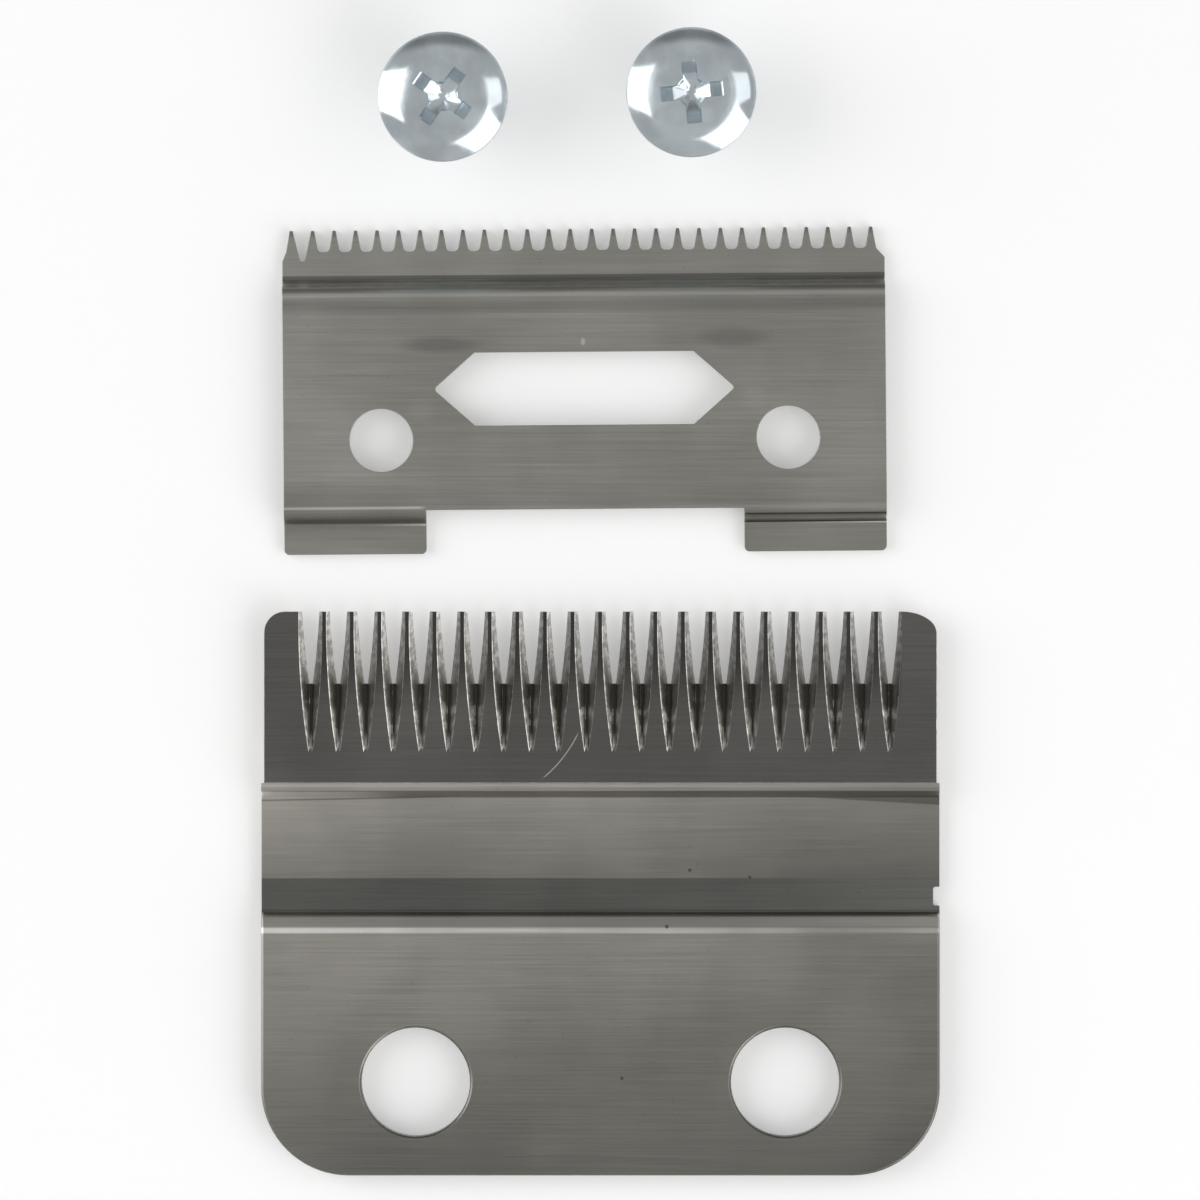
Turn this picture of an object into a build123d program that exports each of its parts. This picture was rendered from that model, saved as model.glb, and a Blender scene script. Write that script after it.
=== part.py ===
"""Two-hole hair clipper blade set, laid out on a table: comb blade, cutter blade and two mounting screws.

Frame: millimetres, +Z up from the table, +Y towards the teeth, +X to the right.
Origin: midpoint between the comb's two screw holes, on the face that it lies on.
"""

import os
from math import acos, cos, degrees, radians, sin, tan

from build123d import *

# Comb blade: outline, seen from the cutter's side
COMB_WIDTH = 45.0
COMB_LENGTH = 37.4
COMB_THICKNESS = 2.0
COMB_REAR_RADIUS = 5.8
COMB_EDGE_BREAK = 0.12
GUARD_CORNER_RADIUS = 1.4
TOOTH_PART_INSET = 0.2
SCREW_HOLE_SPACING = 24.5
SCREW_HOLE_DIAMETER = 7.2
SCREW_HOLE_SETBACK = 6.2
SCREW_HOLE_EDGE_BREAK = 0.15

# Comb blade: section, in lengths that follow each other back from the tooth tips
FRONT_LAND_LENGTH = 11.4
FRONT_WALL_RUN = 0.95
CHANNEL_FLOOR_LENGTH = 5.35
RAMP_LENGTH = 2.25
REAR_WALL_RUN = 1.05
CHANNEL_DEPTH = 0.9
RAMP_RISE = 0.22
FRONT_LIP_RUN = 0.5
FRONT_LIP_DROP = 0.24
FRONT_LIP_ROUND = 0.2
FRONT_EDGE_ROUND = 0.25
REAR_STEP_RUN = 0.26
REAR_STEP_RISE = 0.4
REAR_STEP_ROUND = 0.3
REAR_EDGE_ROUND = 0.6
SKIN_BEVEL_LENGTH = 9.6
TOOTH_TIP_THICKNESS = 0.45

# Comb blade: tooth gaps, ground by a thin wheel with a tapered rim
GAP_COUNT = 22
GAP_PITCH = 1.83
GAP_LENGTH = 9.3
GAP_LARGEST_DEPTH = 1.55
GAP_DEEPEST_SETBACK = 0.8
GAP_RIM_WIDTH = 0.66
GAP_FLANK_ANGLE = 15.0

# Comb blade: nick in the right edge, beside the channel
NICK_SETBACK = 18.9
NICK_LENGTH = 1.25
NICK_DEPTH = 0.42
NICK_ROUND = 0.18

# Cutter blade: outline
CUTTER_WIDTH = 40.0
CUTTER_LENGTH = 21.5
CUTTER_TOOTH_COUNT = 28
CUTTER_TOOTH_PITCH = 1.425
CUTTER_TOOTH_OFFSET = -0.15
CUTTER_TOOTH_HEIGHT = 1.42
CUTTER_TOOTH_TIP_WIDTH = 0.2
CUTTER_TOOTH_ROOT_WIDTH = 0.72
CUTTER_TOOTH_ROOT_ROUND = 0.3
CUTTER_SHOULDER_DROP = 0.6
END_GAP_EXTRA_DEPTH = 0.62
END_GAP_SLOT_WIDTH = 0.36
FOOT_WIDTH = 9.45
FOOT_LENGTH = 2.9
FOOT_CORNER_RADIUS = 0.35

# Cutter blade: section of the bent sheet, a bridge on the tooth strip and two feet
CUTTER_SHEET = 0.85
TOOTH_STRIP_LENGTH = 3.75
FOOT_FLAT_LENGTH = 2.5
BRIDGE_RISE = 1.1
FRONT_SLOPE_ANGLE = 56.0
REAR_SLOPE_ANGLE = 60.0
BEND_INNER_RADIUS = 0.3

# Cutter blade: drive slot and spring holes, set back from the tooth tips
DRIVE_SLOT_LENGTH = 20.0
DRIVE_SLOT_WIDTH = 4.85
DRIVE_SLOT_FLAT = 14.5
DRIVE_SLOT_SETBACK = 10.6
DRIVE_SLOT_END_ROUND = 0.25
SPRING_HOLE_SPACING = 27.0
SPRING_HOLE_DIAMETER = 4.2
SPRING_HOLE_SETBACK = 13.95

# Mounting screws: pan head with a cross recess on a plain shank
HEAD_DIAMETER = 8.6
HEAD_HEIGHT = 2.5
HEAD_CROWN_DIAMETER = 5.8
HEAD_CROWN_RADIUS = 13.0
HEAD_SHOULDER_RADIUS = 2.7
SHANK_DIAMETER = 4.0
SHANK_LENGTH = 6.0
SHANK_END_CHAMFER = 0.5
RECESS_SPAN = 4.1
RECESS_WING_WIDTH = 0.95
RECESS_CORE_DIAMETER = 1.9
RECESS_DEPTH = 1.7
RECESS_TAPER = 26.0

# Layout on the table, from the midpoint of the comb's screw holes
CUTTER_CENTRE_X = -1.15
CUTTER_TIPS_Y = 56.6
CUTTER_TURN = 0.45
SCREW_PLACES = [(-10.4, 65.15), (6.0, 65.45)]
SCREW_TURNS = [-35.0, 6.0]

TIP_Y = COMB_LENGTH - SCREW_HOLE_SETBACK
REAR_Y = -SCREW_HOLE_SETBACK


def comb_section():
    """The comb's section along Y: cutting face on top with its channel, skin face with its bevel below."""
    channel_front = TIP_Y - FRONT_LAND_LENGTH
    floor_front = channel_front - FRONT_WALL_RUN
    floor_rear = floor_front - CHANNEL_FLOOR_LENGTH
    ramp_top = floor_rear - RAMP_LENGTH
    plate_front = ramp_top - REAR_WALL_RUN
    floor_z = COMB_THICKNESS - CHANNEL_DEPTH
    crease_z = floor_z + RAMP_RISE
    front_edge = (channel_front, COMB_THICKNESS)
    front_lip = (channel_front - FRONT_LIP_RUN, COMB_THICKNESS - FRONT_LIP_DROP)
    rear_step = (ramp_top - REAR_STEP_RUN, crease_z + REAR_STEP_RISE)
    rear_edge = (plate_front, COMB_THICKNESS)
    outline = Polyline(
        (TIP_Y, COMB_THICKNESS - TOOTH_TIP_THICKNESS),
        (TIP_Y, COMB_THICKNESS),
        front_edge,
        front_lip,
        (floor_front, floor_z),
        (floor_rear, floor_z),
        (ramp_top, crease_z),
        rear_step,
        rear_edge,
        (REAR_Y, COMB_THICKNESS),
        (REAR_Y, 0),
        (TIP_Y - SKIN_BEVEL_LENGTH, 0),
        close=True,
    )
    section = make_face(outline)
    rounds = [
        (front_edge, FRONT_EDGE_ROUND),
        (front_lip, FRONT_LIP_ROUND),
        (rear_step, REAR_STEP_ROUND),
        (rear_edge, REAR_EDGE_ROUND),
    ]
    for place, radius in rounds:
        corner = section.vertices().sort_by_distance((*place, 0))[0]
        section = fillet(corner, radius)
    return Plane.YZ * section


def comb_outline():
    """The comb's plan: round rear corners, and a tooth part a little narrower than the plate."""
    half = COMB_WIDTH / 2
    tooth_half = half - TOOTH_PART_INSET
    step_y = TIP_Y - FRONT_LAND_LENGTH
    outline = Polyline(
        (-half, REAR_Y),
        (half, REAR_Y),
        (half, step_y),
        (tooth_half, step_y),
        (tooth_half, TIP_Y),
        (-tooth_half, TIP_Y),
        (-tooth_half, step_y),
        (-half, step_y),
        close=True,
    )
    plan = make_face(outline)
    plan = fillet(plan.vertices().group_by(Axis.Y)[0], COMB_REAR_RADIUS)
    return fillet(plan.vertices().group_by(Axis.Y)[-1], GUARD_CORNER_RADIUS)


def gap_wheel():
    """The grinding wheel that cuts one tooth gap: a disc about an axis along X, with a tapered rim."""
    run = GAP_LENGTH - GAP_DEEPEST_SETBACK
    radius = (run**2 + GAP_LARGEST_DEPTH**2) / (2 * GAP_LARGEST_DEPTH)
    axis_z = COMB_THICKNESS - GAP_LARGEST_DEPTH + radius
    reach = 1.2 * GAP_LARGEST_DEPTH
    rim = GAP_RIM_WIDTH / 2
    side = rim + reach * tan(radians(GAP_FLANK_ANGLE))
    profile = make_face(
        Polyline((-rim, -radius), (rim, -radius), (side, reach - radius), (-side, reach - radius), close=True)
    )
    wheel = revolve(Plane.XZ * profile, Axis.X)
    return Pos(0, TIP_Y - GAP_DEEPEST_SETBACK, axis_z) * wheel


def comb_blade():
    """The fixed blade: one profiled steel bar, cut to its outline, punched, rounded and slotted into teeth."""
    blade = extrude(comb_section(), COMB_WIDTH / 2, both=True) & extrude(comb_outline(), COMB_THICKNESS)
    plate_edges = [
        edge
        for edge in blade.edges().group_by(Axis.Z)[-1] + blade.edges().group_by(Axis.Z)[0]
        if edge.center().Y < 0
    ]
    blade = chamfer(plate_edges, COMB_EDGE_BREAK)
    for x in (-SCREW_HOLE_SPACING / 2, SCREW_HOLE_SPACING / 2):
        blade -= Pos(x, 0, COMB_THICKNESS / 2) * Cylinder(SCREW_HOLE_DIAMETER / 2, COMB_THICKNESS)
    rims = blade.edges().filter_by(GeomType.CIRCLE).filter_by_position(Axis.Z, COMB_THICKNESS, COMB_THICKNESS)
    rims = [edge for edge in rims if edge.radius == SCREW_HOLE_DIAMETER / 2]
    blade = chamfer(rims, SCREW_HOLE_EDGE_BREAK)
    nick = extrude(RectangleRounded(2 * NICK_DEPTH, NICK_LENGTH, NICK_ROUND), COMB_THICKNESS)
    blade -= Pos(COMB_WIDTH / 2, TIP_Y - NICK_SETBACK, 0) * nick
    wheel = gap_wheel()
    first_gap = -GAP_PITCH * (GAP_COUNT - 1) / 2
    return blade - [Pos(first_gap + i * GAP_PITCH, 0, 0) * wheel for i in range(GAP_COUNT)]


def cutter_section():
    """The cutter's section along Y: sheet bent up behind the tooth strip and down again to the feet."""
    front_run = BRIDGE_RISE / tan(radians(FRONT_SLOPE_ANGLE))
    rear_run = BRIDGE_RISE / tan(radians(REAR_SLOPE_ANGLE))
    foot_bend = FOOT_FLAT_LENGTH - CUTTER_LENGTH
    # One bend a line: place and height of the under side, sheet's shift on top, and whether it opens upwards
    front_shift = CUTTER_SHEET * tan(radians(FRONT_SLOPE_ANGLE / 2))
    rear_shift = -CUTTER_SHEET * tan(radians(REAR_SLOPE_ANGLE / 2))
    bends = [
        (-TOOTH_STRIP_LENGTH, 0, front_shift, True),
        (-TOOTH_STRIP_LENGTH - front_run, BRIDGE_RISE, front_shift, False),
        (foot_bend + rear_run, BRIDGE_RISE, rear_shift, False),
        (foot_bend, 0, rear_shift, True),
    ]
    under = [(y, z) for y, z, _, _ in bends]
    top = [(y + shift, z + CUTTER_SHEET) for y, z, shift, _ in bends]
    front_end = [(0, CUTTER_SHEET), (0, 0)]
    rear_end = [(-CUTTER_LENGTH, 0), (-CUTTER_LENGTH, CUTTER_SHEET)]
    section = make_face(Polyline(*front_end, *under, *rear_end, *reversed(top), close=True))
    outer = BEND_INNER_RADIUS + CUTTER_SHEET
    for (_, _, _, opens_up), below, above in zip(bends, under, top):
        inside, outside = (above, below) if opens_up else (below, above)
        for place, radius in ((inside, BEND_INNER_RADIUS), (outside, outer)):
            corner = section.vertices().sort_by_distance((*place, 0))[0]
            section = fillet(corner, radius)
    return Plane.YZ * section


def cutter_outline():
    """The cutter's plan: a row of short teeth, and two feet with a gap between them."""
    half = CUTTER_WIDTH / 2
    root = CUTTER_TOOTH_ROOT_WIDTH / 2
    tip = CUTTER_TOOTH_TIP_WIDTH / 2
    shoulder_y = -CUTTER_TOOTH_HEIGHT - CUTTER_SHOULDER_DROP
    row = CUTTER_TOOTH_PITCH * (CUTTER_TOOTH_COUNT - 1)
    first_tooth = CUTTER_TOOTH_OFFSET - row / 2
    teeth = []
    for i in range(CUTTER_TOOTH_COUNT):
        x = first_tooth + i * CUTTER_TOOTH_PITCH
        teeth += [(x - root, -CUTTER_TOOTH_HEIGHT), (x - tip, 0), (x + tip, 0), (x + root, -CUTTER_TOOTH_HEIGHT)]
    inner = half - FOOT_WIDTH
    feet = [
        (half, -CUTTER_LENGTH),
        (inner, -CUTTER_LENGTH),
        (inner, FOOT_LENGTH - CUTTER_LENGTH),
        (-inner, FOOT_LENGTH - CUTTER_LENGTH),
        (-inner, -CUTTER_LENGTH),
        (-half, -CUTTER_LENGTH),
    ]
    plan = make_face(Polyline(*teeth, (half, shoulder_y), *feet, (-half, shoulder_y), close=True))
    roots = [
        corner
        for corner in plan.vertices()
        if abs(corner.Y + CUTTER_TOOTH_HEIGHT) < 1e-6 and first_tooth < corner.X < first_tooth + row
    ]
    plan = fillet(roots, CUTTER_TOOTH_ROOT_ROUND)
    plan = fillet(plan.vertices().group_by(Axis.Y)[0], FOOT_CORNER_RADIUS)
    # The first gap from the left runs deeper than the others, in a narrow slot with a round end
    slot_length = END_GAP_EXTRA_DEPTH + END_GAP_SLOT_WIDTH
    slot_y = slot_length / 2 - CUTTER_TOOTH_HEIGHT - END_GAP_EXTRA_DEPTH
    slot = SlotOverall(slot_length, END_GAP_SLOT_WIDTH, rotation=90)
    return plan - Pos(first_tooth + CUTTER_TOOTH_PITCH / 2, slot_y) * slot


def drive_slot():
    """The long six-sided slot that the clipper's drive finger works in."""
    half = DRIVE_SLOT_LENGTH / 2
    flat = DRIVE_SLOT_FLAT / 2
    side = DRIVE_SLOT_WIDTH / 2
    slot = make_face(
        Polyline((half, 0), (flat, side), (-flat, side), (-half, 0), (-flat, -side), (flat, -side), close=True)
    )
    ends = slot.vertices().group_by(Axis.X)
    return fillet(ends[0] + ends[-1], DRIVE_SLOT_END_ROUND)


def cutter_blade():
    """The moving blade: a punched and bent sheet, with its tooth tips on the X axis and its under side at Z 0."""
    height = BRIDGE_RISE + CUTTER_SHEET
    blade = extrude(cutter_section(), CUTTER_WIDTH / 2, both=True) & extrude(cutter_outline(), height)
    blade -= Pos(0, -DRIVE_SLOT_SETBACK, 0) * extrude(drive_slot(), height)
    for x in (-SPRING_HOLE_SPACING / 2, SPRING_HOLE_SPACING / 2):
        blade -= Pos(x, -SPRING_HOLE_SETBACK, height / 2) * Cylinder(SPRING_HOLE_DIAMETER / 2, height)
    return blade


def screw_profile():
    """Half of the screw's section: end chamfer, shank, and a head with a flat crown and round shoulder."""
    head_radius = HEAD_DIAMETER / 2
    shank_radius = SHANK_DIAMETER / 2
    top = SHANK_LENGTH + HEAD_HEIGHT
    crown_centre = top - HEAD_CROWN_RADIUS
    crown_end = acos(HEAD_CROWN_DIAMETER / 2 / HEAD_CROWN_RADIUS)
    reach = HEAD_CROWN_RADIUS - HEAD_SHOULDER_RADIUS
    shoulder_x = reach * cos(crown_end)
    shoulder_z = crown_centre + reach * sin(crown_end)
    rim = acos((head_radius - shoulder_x) / HEAD_SHOULDER_RADIUS)
    crown = CenterArc((0, crown_centre), HEAD_CROWN_RADIUS, 90, degrees(crown_end) - 90)
    shoulder = CenterArc(
        (shoulder_x, shoulder_z), HEAD_SHOULDER_RADIUS, degrees(crown_end), degrees(rim - crown_end)
    )
    rest = Polyline(
        (head_radius, shoulder_z + HEAD_SHOULDER_RADIUS * sin(rim)),
        (head_radius, SHANK_LENGTH),
        (shank_radius, SHANK_LENGTH),
        (shank_radius, SHANK_END_CHAMFER),
        (shank_radius - SHANK_END_CHAMFER, 0),
        (0, 0),
        (0, top),
    )
    return Plane.XZ * make_face([crown, shoulder, rest])


def cross_recess():
    """The driver recess: four wings inside a cone, round a tapered core, with its mouth at Z 0."""
    mouth = RECESS_SPAN / 2
    drop = RECESS_DEPTH * tan(radians(RECESS_TAPER))
    centre = Pos(0, 0, -RECESS_DEPTH / 2)
    wings = centre * Box(RECESS_SPAN, RECESS_WING_WIDTH, RECESS_DEPTH)
    wings += centre * Box(RECESS_WING_WIDTH, RECESS_SPAN, RECESS_DEPTH)
    core_mouth = RECESS_CORE_DIAMETER / 2
    core = centre * Cone(core_mouth * cos(radians(RECESS_TAPER)), core_mouth, RECESS_DEPTH)
    return (wings & (centre * Cone(mouth - drop, mouth, RECESS_DEPTH))) + core


def screw():
    """One mounting screw, standing on its shank's end."""
    top = SHANK_LENGTH + HEAD_HEIGHT
    return revolve(screw_profile(), Axis.Z) - Pos(0, 0, top) * cross_recess()


def laid_out():
    """Every piece where it lies on the table, by node name."""
    blank = screw()
    screws = [
        Pos(x, y, 0) * Rot(0, 0, turn) * blank for (x, y), turn in zip(SCREW_PLACES, SCREW_TURNS)
    ]
    return {
        "comb_blade": comb_blade(),
        "cutter_blade": Pos(CUTTER_CENTRE_X, CUTTER_TIPS_Y, 0) * Rot(0, 0, CUTTER_TURN) * cutter_blade(),
        "mounting_screws": Compound(children=screws),
    }


os.makedirs("parts", exist_ok=True)
for name, piece in laid_out().items():
    piece.label = name
    export_step(piece, f"parts/{name}.step")
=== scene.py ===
"""Hair clipper blade set on a pale table: finished comb blade, cutter blade and threaded mounting screws.

The file is laid out as a Blender add-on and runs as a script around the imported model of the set.
"""

import math

import bmesh
import bpy
from bpy.props import FloatProperty, FloatVectorProperty, IntProperty, PointerProperty
from bpy.types import Operator, Panel, PropertyGroup
from mathutils import Matrix, Vector


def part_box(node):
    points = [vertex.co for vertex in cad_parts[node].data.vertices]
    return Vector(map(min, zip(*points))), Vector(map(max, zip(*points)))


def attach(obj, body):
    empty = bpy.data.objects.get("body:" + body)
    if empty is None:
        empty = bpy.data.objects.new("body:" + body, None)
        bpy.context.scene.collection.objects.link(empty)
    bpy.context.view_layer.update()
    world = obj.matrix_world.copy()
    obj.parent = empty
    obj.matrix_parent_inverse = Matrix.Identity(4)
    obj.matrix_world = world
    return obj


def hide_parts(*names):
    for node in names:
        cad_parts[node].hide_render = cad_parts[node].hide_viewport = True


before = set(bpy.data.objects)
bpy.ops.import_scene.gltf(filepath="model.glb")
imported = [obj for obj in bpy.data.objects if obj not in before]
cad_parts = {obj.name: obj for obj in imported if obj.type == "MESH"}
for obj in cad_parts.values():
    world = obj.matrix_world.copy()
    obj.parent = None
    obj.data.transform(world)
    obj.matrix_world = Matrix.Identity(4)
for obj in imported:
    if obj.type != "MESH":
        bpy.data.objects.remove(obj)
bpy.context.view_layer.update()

bl_info = {
    "name": "Clipper Blade Set",
    "version": (1, 0, 0),
    "blender": (4, 5, 0),
    "location": "3D View > Sidebar > Clipper",
    "description": "Finishes the blades and screws of a hair clipper blade set and lights them on a table",
    "category": "Object",
}

MM = 0.001
BODY = "root"
COMB_LOW, COMB_HIGH = (Vector(corner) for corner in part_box("comb_blade"))
CUTTER_LOW, CUTTER_HIGH = (Vector(corner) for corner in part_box("cutter_blade"))
SCREWS_LOW, SCREWS_HIGH = (Vector(corner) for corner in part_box("mounting_screws"))
COMB_TIPS, COMB_FACE = COMB_HIGH.y, COMB_HIGH.z

# In metres: points closer than the first are one point, and the second is the tolerance on a place
TOUCHING = 1e-7
LEVEL = 1e-6

# Angles between faces: up to the first they are one flat, above the others they meet in a sharp edge
ONE_FLAT = math.radians(0.4)
BLADE_EDGE = math.radians(28)
SCREW_EDGE = math.radians(34)

# A factor that takes the height out of a place
FLAT = (1.0, 1.0, 0.0)
WHITE = (1.0, 1.0, 1.0, 1.0)
FROM_AXIS = "from_axis"
ROWS_A_TURN = 16

# Pits in the comb's face: X, Y and half size, in millimetres
COMB_PITS = ((5.93, 14.03, 0.16), (9.91, 13.56, 0.14), (1.42, 0.25, 0.15), (4.4, 10.3, 0.18))

# The scratch on the comb's tooth strip: both ends, its bow and its half width, in millimetres
SCRATCH_START, SCRATCH_END = Vector((-1.40, 23.30)), Vector((-3.92, 20.06))
SCRATCH_BOW, SCRATCH_WIDTH = 0.24, 0.045

# Smears on the cutter's upper face: X, Y and half sizes along both, in millimetres, and brightness
CUTTER_SMEARS = (
    (-10.6, 48.87, 3.4, 0.75, 0.70),
    (8.75, 49.42, 3.1, 0.95, 0.74),
    (-11.9, 44.6, 1.3, 1.1, 1.10),
    (10.2, 45.4, 1.1, 1.0, 1.10),
    (-1.16, 49.09, 0.20, 0.34, 1.70),
    (-17.5, 37.8, 8.0, 2.6, 0.76),
)

# Painted highlights and painted shade in bands along the cutter's tips and bends: how far the rear and
# the front edge are behind the tips and how soft they are, in millimetres, then brightness and the part
# of the width that they cover
CUTTER_BEND_SHADING = (
    (0.30, -1.00, 0.35, 0.58, "whole"),
    (3.30, 3.00, 0.05, 0.47, "whole"),
    (3.60, 3.40, 0.06, 1.35, "whole"),
    (3.97, 3.70, 0.08, 0.66, "whole"),
    (4.45, 4.15, 0.10, 1.40, "whole"),
    (5.45, 4.70, 0.25, 0.79, "whole"),
    (18.50, 18.36, 0.08, 2.20, "left foot"),
    (19.75, 19.50, 0.10, 0.86, "left foot"),
    (19.05, 18.93, 0.05, 0.26, "right foot"),
    (19.36, 19.16, 0.06, 1.90, "right foot"),
    (19.54, 19.45, 0.05, 0.03, "right foot"),
)

# Soft boxes: name, azimuth and angle from straight above in degrees, width and height in metres, brightness
LAMP_DISTANCE = 0.5
SOFT_BOXES = (
    ("soft_box_left", 170.0, 58.0, 0.36, 0.62, 1.75),
    ("soft_box_right", -40.0, 58.0, 0.38, 0.62, 1.65),
    ("soft_box_side", 12.0, 50.0, 0.22, 0.40, 0.8),
)

# Kinds of node sockets by the type of their default value
SOCKETS = {float: "NodeSocketFloat", int: "NodeSocketInt", tuple: "NodeSocketVector"}


def length(name, description, millimetres):
    """A length property, given in millimetres and held in metres."""
    return FloatProperty(
        name=name, description=description, default=millimetres * MM, unit="LENGTH", precision=5
    )


def angle(name, description, degrees):
    """An angle property, given in degrees and held in radians."""
    return FloatProperty(name=name, description=description, default=math.radians(degrees), subtype="ANGLE")


def colour(name, description, default):
    """A linear colour property."""
    return FloatVectorProperty(
        name=name, description=description, default=default, subtype="COLOR", size=3, min=0.0, max=1.0
    )


def share(name, description, default):
    """A property between 0 and 1."""
    return FloatProperty(
        name=name, description=description, default=default, subtype="FACTOR", min=0.0, max=1.0
    )


def count(name, description, default, least):
    """A whole number property."""
    return IntProperty(name=name, description=description, default=default, min=least)


class BladeSteel(PropertyGroup):
    """Finish of the two blades, and those of their shapes that are made here."""

    comb_colour: colour("Comb steel", "Rolled face of the comb blade", (0.34, 0.328, 0.295))
    cutter_colour: colour("Cutter steel", "Rolled face of the cutter blade", (0.375, 0.368, 0.338))
    ground_colour: colour("Ground steel", "Tooth strip of the comb blade", (0.154, 0.149, 0.14))
    tip_colour: colour("Tooth tips", "Lands of the comb's teeth at their tips", (0.07, 0.067, 0.062))
    ramp_colour: colour("Ramp", "Ground ramp behind the comb's channel", (0.145, 0.145, 0.135))
    # Painted shade: darkens the crease behind the ramp and the floors deep in the tooth gaps
    painted_shade_colour: colour("Grime", "Dirt in the crease and the tooth gaps", (0.045, 0.043, 0.038))
    # Painted highlight: on the crest, which is partly wear, and at the front wall's left end
    highlight_colour: colour("Crest", "Rubbed crest at the front of the comb's plate", (0.92, 0.91, 0.87))
    # Painted shade deep in the tooth gaps
    gap_shade_colour: colour("Gap bottoms", "Deep bottoms of the comb's tooth gaps", (0.40, 0.39, 0.365))
    # Brighter than the comb's other steel: partly freshly ground steel, partly painted highlight
    flank_colour: colour("Tooth flanks", "Freshly ground flanks of the comb's teeth", (0.60, 0.59, 0.56))
    # The next three set painted shade: the plate darker to its rear edge, the channel's floor darker to the
    # ramp, and the comb darker to the right
    painted_shade_tone: share("Tarnish", "How much darker the comb's plate is at its rear edge", 0.45)
    floor_shade_tone: share("Channel tarnish", "How much darker the channel's floor is beside the ramp", 0.28)
    side_shade_tone: share("Side tarnish", "How much darker the comb's right edge is than its left", 0.28)
    rolled_roughness: share("Rolled roughness", "Roughness of the rolled faces", 0.36)
    ground_roughness: share("Ground roughness", "Roughness of the ground faces", 0.30)
    grain_length: length("Grain length", "Length of the brush marks along the tooth row", 9.0)
    grain_width: length("Grain width", "Width of the brush marks", 0.09)
    edge_break: length("Edge break", "Width of the tiny round on sharp edges", 0.035)
    tooth_break: length("Tooth edge break", "Width of the round on the tooth gaps' left edges", 0.085)
    gap_row: length("Gap row", "Half of the row of tooth gaps", 20.0)
    gap_count: count("Gaps", "Number of gaps in the comb's tooth row", 22, 1)
    gap_pitch: length("Gap pitch", "From one tooth gap to the next", 1.83)
    gap_length: length("Gap length", "From the comb's tips back to the gaps' roots", 9.3)
    gap_setback: length("Gap setback", "From the comb's tips back to the gaps' deepest place", 0.8)
    gap_depth: length("Gap depth", "Largest depth of the gaps", 1.55)
    gap_floor: length("Gap floor", "Width of the gaps' floor", 0.2)
    gap_flank: angle("Gap flank", "Lean of the gaps' flanks", 23)
    cutter_turn: angle("Cutter turn", "How far the cutter blade is turned", 0.45)
    worn_gap: length("Worn gap", "Place along X of the cutter's worn tooth gap", -19.82)
    corner_round: length("Corner round", "Radius of the comb's front corners", 1.4)
    worn_round: length("Worn round", "Length along X of the comb's worn right front corner", 2.36)
    tooth_strip: length("Tooth strip", "From the comb's tips back to the channel", 11.4)
    floor_front: length("Floor front", "From the comb's tips back to the front of the channel's floor", 12.35)
    ramp_front: length("Ramp front", "From the comb's tips back to the front of the ramp", 17.7)
    ramp_rear: length("Ramp rear", "From the comb's tips back to the crease behind the ramp", 19.95)
    plate_front: length("Plate front", "From the comb's tips back to the front of its plate", 21.0)


class ScrewFinish(PropertyGroup):
    """Shape of the screws' recess and thread, and their plating."""

    plating_colour: colour("Plating", "Bright zinc plating", (0.71, 0.78, 0.82))
    plating_roughness: share("Plating roughness", "Roughness of the plating", 0.12)
    shank_length: length("Shank length", "From the shank's end to the head", 6.0)
    thread_pitch: length("Thread pitch", "From one thread to the next", 0.7)
    thread_depth: length("Thread depth", "From crest to root", 0.43)
    thread_radius: length("Thread radius", "Outer radius of the thread", 2.0)
    end_chamfer: length("End chamfer", "Chamfer on the shank's end", 0.5)
    crown_diameter: length("Crown diameter", "Across the head's flat top", 5.8)
    crown_radius: length("Crown radius", "Radius of the head's top", 13.0)
    shoulder_radius: length("Shoulder radius", "Radius between the head's top and its rim", 2.7)
    recess_span: length("Recess span", "From one wing's end to the opposite one", 4.1)
    recess_wing: length("Recess wing", "Width of one wing", 0.95)
    recess_core: length("Recess core", "Diameter of the recess's round middle", 1.9)
    recess_depth: length("Recess depth", "From the head's top to the recess's floor", 1.7)
    recess_taper: angle("Recess taper", "Slope of the wings' ends", 26)
    left_turn: angle("Left turn", "How far the left screw is turned", -35)
    right_turn: angle("Right turn", "How far the right screw is turned", 6)
    steps_round: count("Steps round", "Points round the screw, in eights", 128, 32)


class StudioSetup(PropertyGroup):
    """Camera, table and sky."""

    view_width: length("View width", "Width of the picture at the blades' faces", 79.56)
    view_distance: length("View distance", "From the camera down to the blades' faces", 900.0)
    view_centre_x: length("View centre X", "Point under the camera", -0.03)
    view_centre_y: length("View centre Y", "Point under the camera", 31.96)
    floor_colour: colour("Table", "Pale table top", (0.80, 0.80, 0.80))
    floor_glow: share("Table glow", "White added where the table is seen, which keeps its shadows pale", 0.24)
    sky_level: share("Sky level", "Even light from all round", 0.50)
    shade_level: share("Shade level", "Low light from beyond the screws", 0.22)


def named_values(context):
    """The three groups of settings."""
    scene = context.scene
    return scene.clipper_steel, scene.clipper_screws, scene.clipper_studio


def opaque(rgb, tone=1.0):
    """A colour with full alpha, made brighter or darker by a tone."""
    return (*(tone * channel for channel in rgb), 1.0)


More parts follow.
